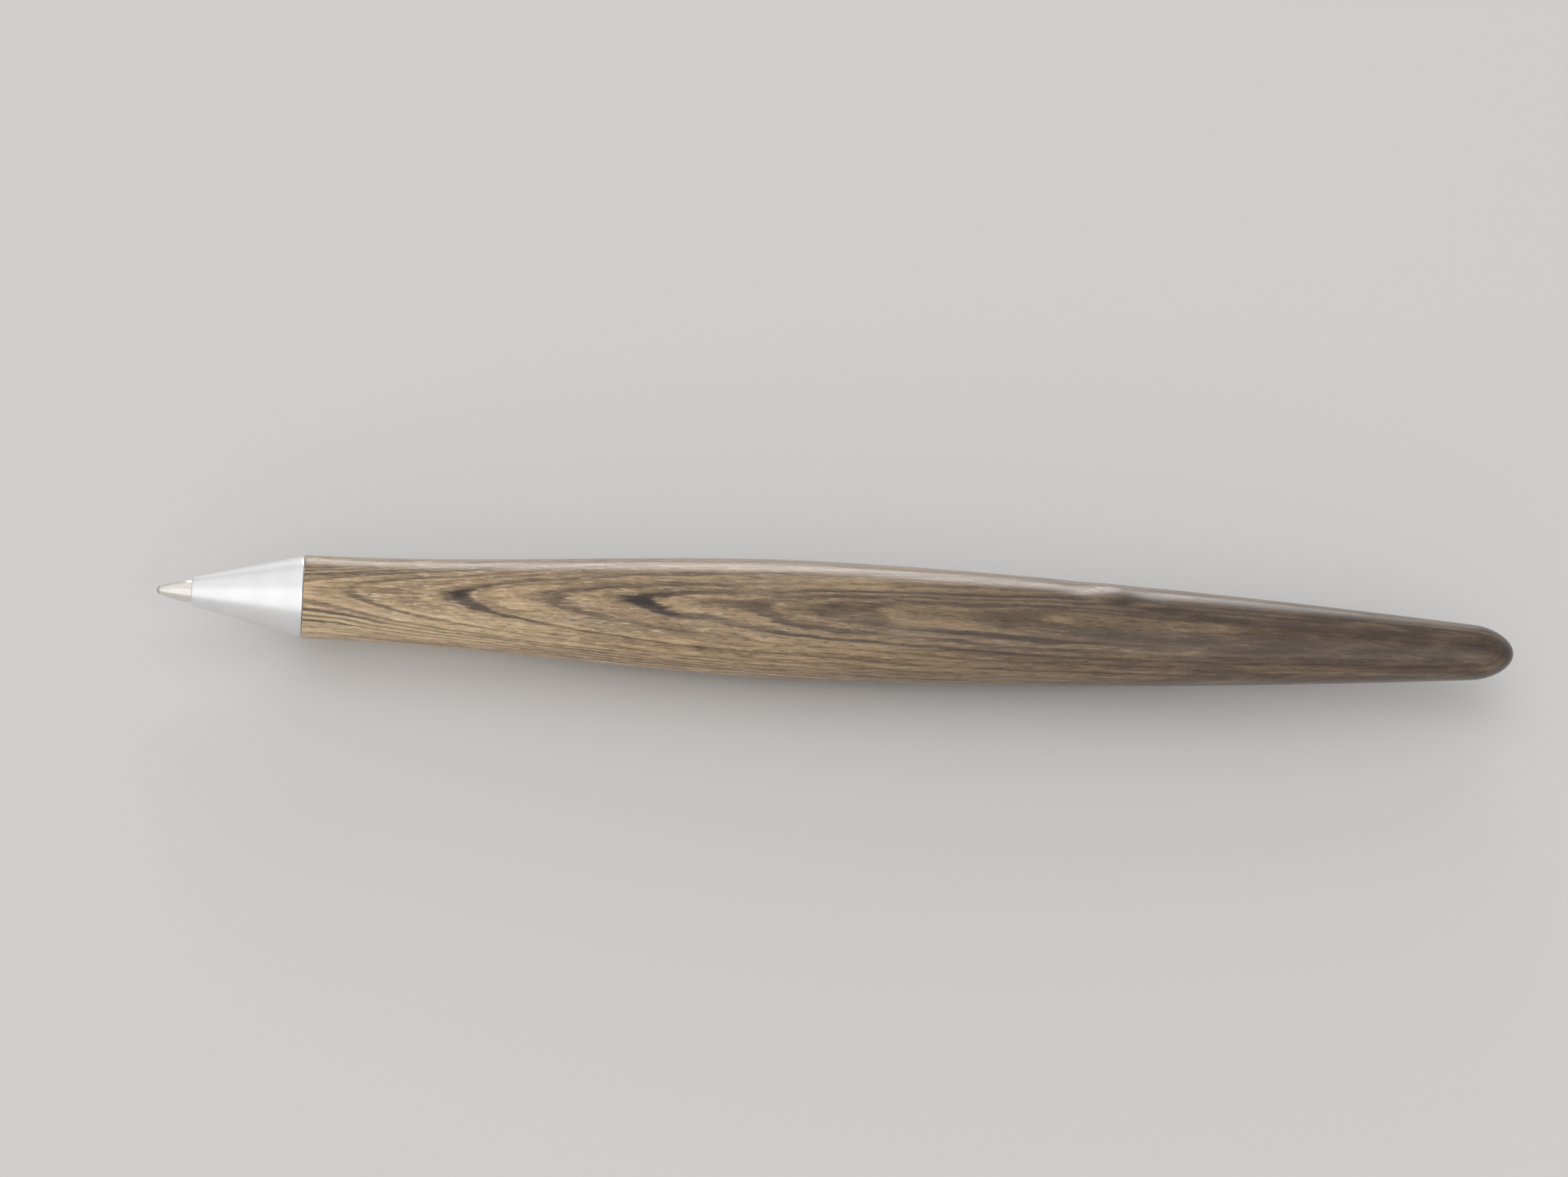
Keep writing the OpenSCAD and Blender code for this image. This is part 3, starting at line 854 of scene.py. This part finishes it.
# %% Turn the point
lip_at, lip_out, lip_in = 0.18, 0.387, 0.327
taper_at, taper_out = 1.4, 0.81
full_at, full_out = 3.1, 1.2
shank_end, stem_out, stem_end = 7.6, 0.9, 9.6
channel = 0.2
lip_bevel, lip_round, taper_round, full_round = 0.02, 0.05, 0.25, 0.35
lip_corner, taper_corner, full_corner = (lip_at, lip_out), (taper_at, taper_out), (full_at, full_out)
shank_corner = (shank_end, full_out)
socket_line = [(0.68, channel), (0.62, 0.30), (0.45, 0.368), (0.32, 0.368)]
point_line = [(lip_at + lip_bevel, lip_in)]
point_line += rounded(lip_corner, (lip_at, lip_in), taper_corner, lip_round)
point_line += rounded(taper_corner, lip_corner, full_corner, taper_round)
point_line += rounded(full_corner, taper_corner, shank_corner, full_round)
point_line += [shank_corner, (shank_end, stem_out), (stem_end, stem_out), (stem_end, channel)]
point = turned("pen_point", point_line + socket_line, facets=96, ring=True)
print("point is", 2 * full_out, "mm across and ends in a lip", 2 * lip_out, "mm across")

# %% [markdown]
# ## Nickel silver
# Nickel silver is a pale alloy with a touch of yellow and pink.
# The little lathe that cut the point left fine rings around it, which catch the light as a soft streak.
# Old ink creeps over the lip, so the metal there is a shade darker.

# %% Mix the nickel silver
nickel = Finish("point_silver", Metallic=1.0)
nickel_spot = nickel.place()
nickel_along = nickel.add("SeparateXYZ", {0: nickel_spot}).outputs[0]
tool_rings = nickel.lines(nickel.times(nickel_along, 34.0))
nickel_patches = nickel.cloud(nickel_spot, scale=1.6, detail=2.0)
nickel_tone = nickel.between(nickel_patches, (0.84, 0.80, 0.765, 1), (0.76, 0.72, 0.68, 1))
inky_lip = nickel.spread(nickel_along, lip_at + 0.24, lip_at + 0.06, 0.0, 0.55)
nickel_tone = nickel.between(inky_lip, nickel_tone, (0.25, 0.23, 0.24, 1))
nickel.give(Base_Color=nickel_tone, Roughness=nickel.spread(tool_rings, 0.3, 0.7, 0.20, 0.32))
nickel.relief(tool_rings, 0.004, 0.5)
dress(point, nickel, "refill", "nickel_silver", "ball_point")

# %% [markdown]
# ## The writing ball
# The ball is a ground sphere of hard metal, seven tenths of a millimetre across, and it rolls in the lip.
# Its surface is not a mirror: fine pits hold the ink.
# We turn it from a half circle, as the other pieces, and pit it in the finish.

# %% Make the ball
ball_out = 0.35
half_turn = np.linspace(0, math.pi, 33)
half_circle = [(ball_out - ball_out * math.cos(bend), ball_out * math.sin(bend)) for bend in half_turn]
half_circle[0], half_circle[-1] = (0.0, 0.0), (2 * ball_out, 0.0)
ball = turned("rolling_ball", half_circle, facets=48)
hard = Finish("ground_carbide", Metallic=1.0)
pits = hard.cloud(hard.place(), scale=26.0, detail=3.0)
hard_tone = hard.between(hard.spread(pits, 0.5, 0.7), (0.62, 0.63, 0.65, 1), (0.22, 0.22, 0.27, 1))
hard.give(Base_Color=hard_tone, Roughness=hard.spread(pits, 0.4, 0.7, 0.16, 0.45))
hard.relief(hard.spread(pits, 0.5, 0.7, 1.0, 0.0), 0.004, 0.6)
dress(ball, hard, "ball", "carbide", "writing_ball")

# %% [markdown]
# ## The spring
# Behind the refill sits a short spring of round wire that holds the refill forward against the cone's step.
# Its end curls lie closed, so that it stands square, and the curls between are open.

# %% Wind the spring
spring_low, spring_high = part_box("refill_spring")
spring_from, spring_to = behind_front(spring_low.x), behind_front(spring_high.x)
wire_out, coil_out = 0.225, 1.9
curls, curl_steps, wire_sides = 7, 40, 12
closed_rise = 0.50
open_rise = (spring_to - spring_from - 2 * wire_out - 2 * closed_rise) / (curls - 2)


def wire_middle(i):
    """Where the wire's middle is after i steps: mm along and degrees round."""
    curl = i / curl_steps
    closed_curls = min(curl, 1) + max(curl - curls + 1, 0)
    open_curls = min(max(curl - 1, 0), curls - 2)
    return spring_from + wire_out + closed_rise * closed_curls + open_rise * open_curls, -360 * curl


def wire_section(i):
    """The wire's round section after i steps."""
    middle, turn = wire_middle(i)
    around = [math.tau * k / wire_sides for k in range(wire_sides)]
    rim = [(wire_out * math.sin(angle), wire_out * math.cos(angle)) for angle in around]
    return [(middle + along, coil_out + out, turn) for along, out in rim]


spring_shape = bpy.data.meshes.new("coil_spring")
helix_ridge(spring_shape, wire_section, curls * curl_steps)
spring = into_scene("coil_spring", spring_shape)
print("open curls rise by", round(open_rise, 3), "mm")

# %% [markdown]
# ## Drawn steel wire
# Wire is pulled through a die, which leaves long fine lines along it.
# The spring is oiled, so it is a little dark.
# The lines follow the wire closely enough if they run around the coil, at a fixed distance from
# the pen's axis.

# %% Mix the spring steel
wire = Finish("drawn_wire", Metallic=1.0)
wire_spot = wire.place()
wire_far = round_axis(wire, wire_spot)[1]
draw_lines = wire.lines(wire.times(wire_far, 40.0))
oil = wire.cloud(wire_spot, scale=0.8, detail=2.0)
wire_tone = wire.between(oil, (0.70, 0.71, 0.73, 1), (0.45, 0.44, 0.43, 1))
wire.give(Base_Color=wire_tone, Roughness=wire.spread(draw_lines, 0.3, 0.7, 0.22, 0.42))
wire.relief(draw_lines, 0.004, 0.4)
dress(spring, wire, None, "spring_steel", "refill_spring")
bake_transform(spring)

# %% [markdown]
# ## Finishes for the metal pieces inside
# The pieces inside are already right as solids, so they only need their finishes.
# The brass liner is roughed for the glue, the bush and the spring's seat are turned, and the steel ink tube
# is drawn. All three are metal with rings and scuffs, so one recipe serves them.
# They differ in colour and dullness, in how close rings and scuffs lie, and in how deep both go.

# %% A recipe for turned and drawn metal


def worked_metal(name, bright, dull_tone, dullness, rings_per_mm, scuffs_per_mm, depth):
    """Metal with rings around it and scuffs over it. dullness is its least and most, depth is in mm."""
    metal = Finish(name, Metallic=1.0)
    metal_spot = metal.place()
    metal_along, metal_far = round_axis(metal, metal_spot)
    rings = metal.lines(metal.times(metal_along, rings_per_mm), metal_far)
    scuffs = metal.cloud(metal_spot, scale=scuffs_per_mm, detail=4.0, rough=0.65)
    tone = metal.between(metal.spread(scuffs, 0.35, 0.7), bright, dull_tone)
    worn = metal.sums("MULTIPLY_ADD", rings, 0.5, metal.times(scuffs, 0.5))
    metal.give(Base_Color=tone, Roughness=metal.spread(worn, 0.35, 0.65, *dullness))
    metal.relief(worn, depth, 0.6)
    return metal


def refinish(finish, *nodes):
    """Gives CAD pieces that stay as they are a new finish."""
    for name in nodes:
        materials = frame["nodes"][name].data.materials
        materials.clear()
        materials.append(finish.material)
    print(finish.material.name, "on", nodes)


print("recipe for worked metal is ready")

# %% Finish the liner, the bush and the ink tube
liner_brass = worked_metal(
    "scuffed_brass", bright=(0.78, 0.60, 0.27, 1), dull_tone=(0.56, 0.41, 0.18, 1),
    dullness=(0.30, 0.55), rings_per_mm=2.0, scuffs_per_mm=1.6, depth=0.02,
)
refinish(liner_brass, "barrel_tube")
bush_brass = worked_metal(
    "turned_brass", bright=(0.82, 0.66, 0.33, 1), dull_tone=(0.66, 0.50, 0.22, 1),
    dullness=(0.18, 0.36), rings_per_mm=14.0, scuffs_per_mm=0.8, depth=0.006,
)
refinish(bush_brass, "thread_bush", "spring_seat")
tube_steel = worked_metal(
    "drawn_steel", bright=(0.78, 0.79, 0.80, 1), dull_tone=(0.62, 0.62, 0.62, 1),
    dullness=(0.16, 0.34), rings_per_mm=0.4, scuffs_per_mm=0.7, depth=0.004,
)
refinish(tube_steel, "refill_tube", "refill_nose")

# %% [markdown]
# ## Ink, follower and plug
# The ink is a thick dark blue paste, wet and glossy.
# Behind it sits a slug of cloudy grease that follows it down the tube, and lets some light into itself.
# The plug at the rear is moulded plastic with a fine spark-eroded texture from its mould.

# %% Mix the ink
ink = Finish("blue_ink", Roughness=0.12, IOR=1.48)
ink_folds = ink.cloud(ink.stretched(ink.place(), 0.3, 1.2), detail=4.0)
ink.give(Base_Color=ink.between(ink_folds, (0.010, 0.014, 0.085, 1), (0.022, 0.024, 0.16, 1)))
ink.relief(ink_folds, 0.03, 0.4)
refinish(ink, "ink")

# %% Mix the grease
grease = Finish("cloudy_grease", Subsurface_Weight=0.5, Subsurface_Scale=0.001, Roughness=0.2)
clouds = grease.cloud(grease.place(), scale=0.9, detail=4.0)
grease.give(Base_Color=grease.between(clouds, (0.88, 0.85, 0.72, 1), (0.76, 0.70, 0.52, 1)))
grease.relief(clouds, 0.03, 0.4)
refinish(grease, "ink_follower")

# %% Mix the plug's plastic
plug = Finish("moulded_plug")
spark = plug.cloud(plug.place(), scale=12.0, detail=3.0)
plug_tone = plug.between(spark, (0.016, 0.016, 0.018, 1), (0.034, 0.034, 0.037, 1))
plug.give(Base_Color=plug_tone, Roughness=plug.spread(spark, 0.3, 0.7, 0.42, 0.62))
plug.relief(spark, 0.012, 0.5)
refinish(plug, "refill_plug")
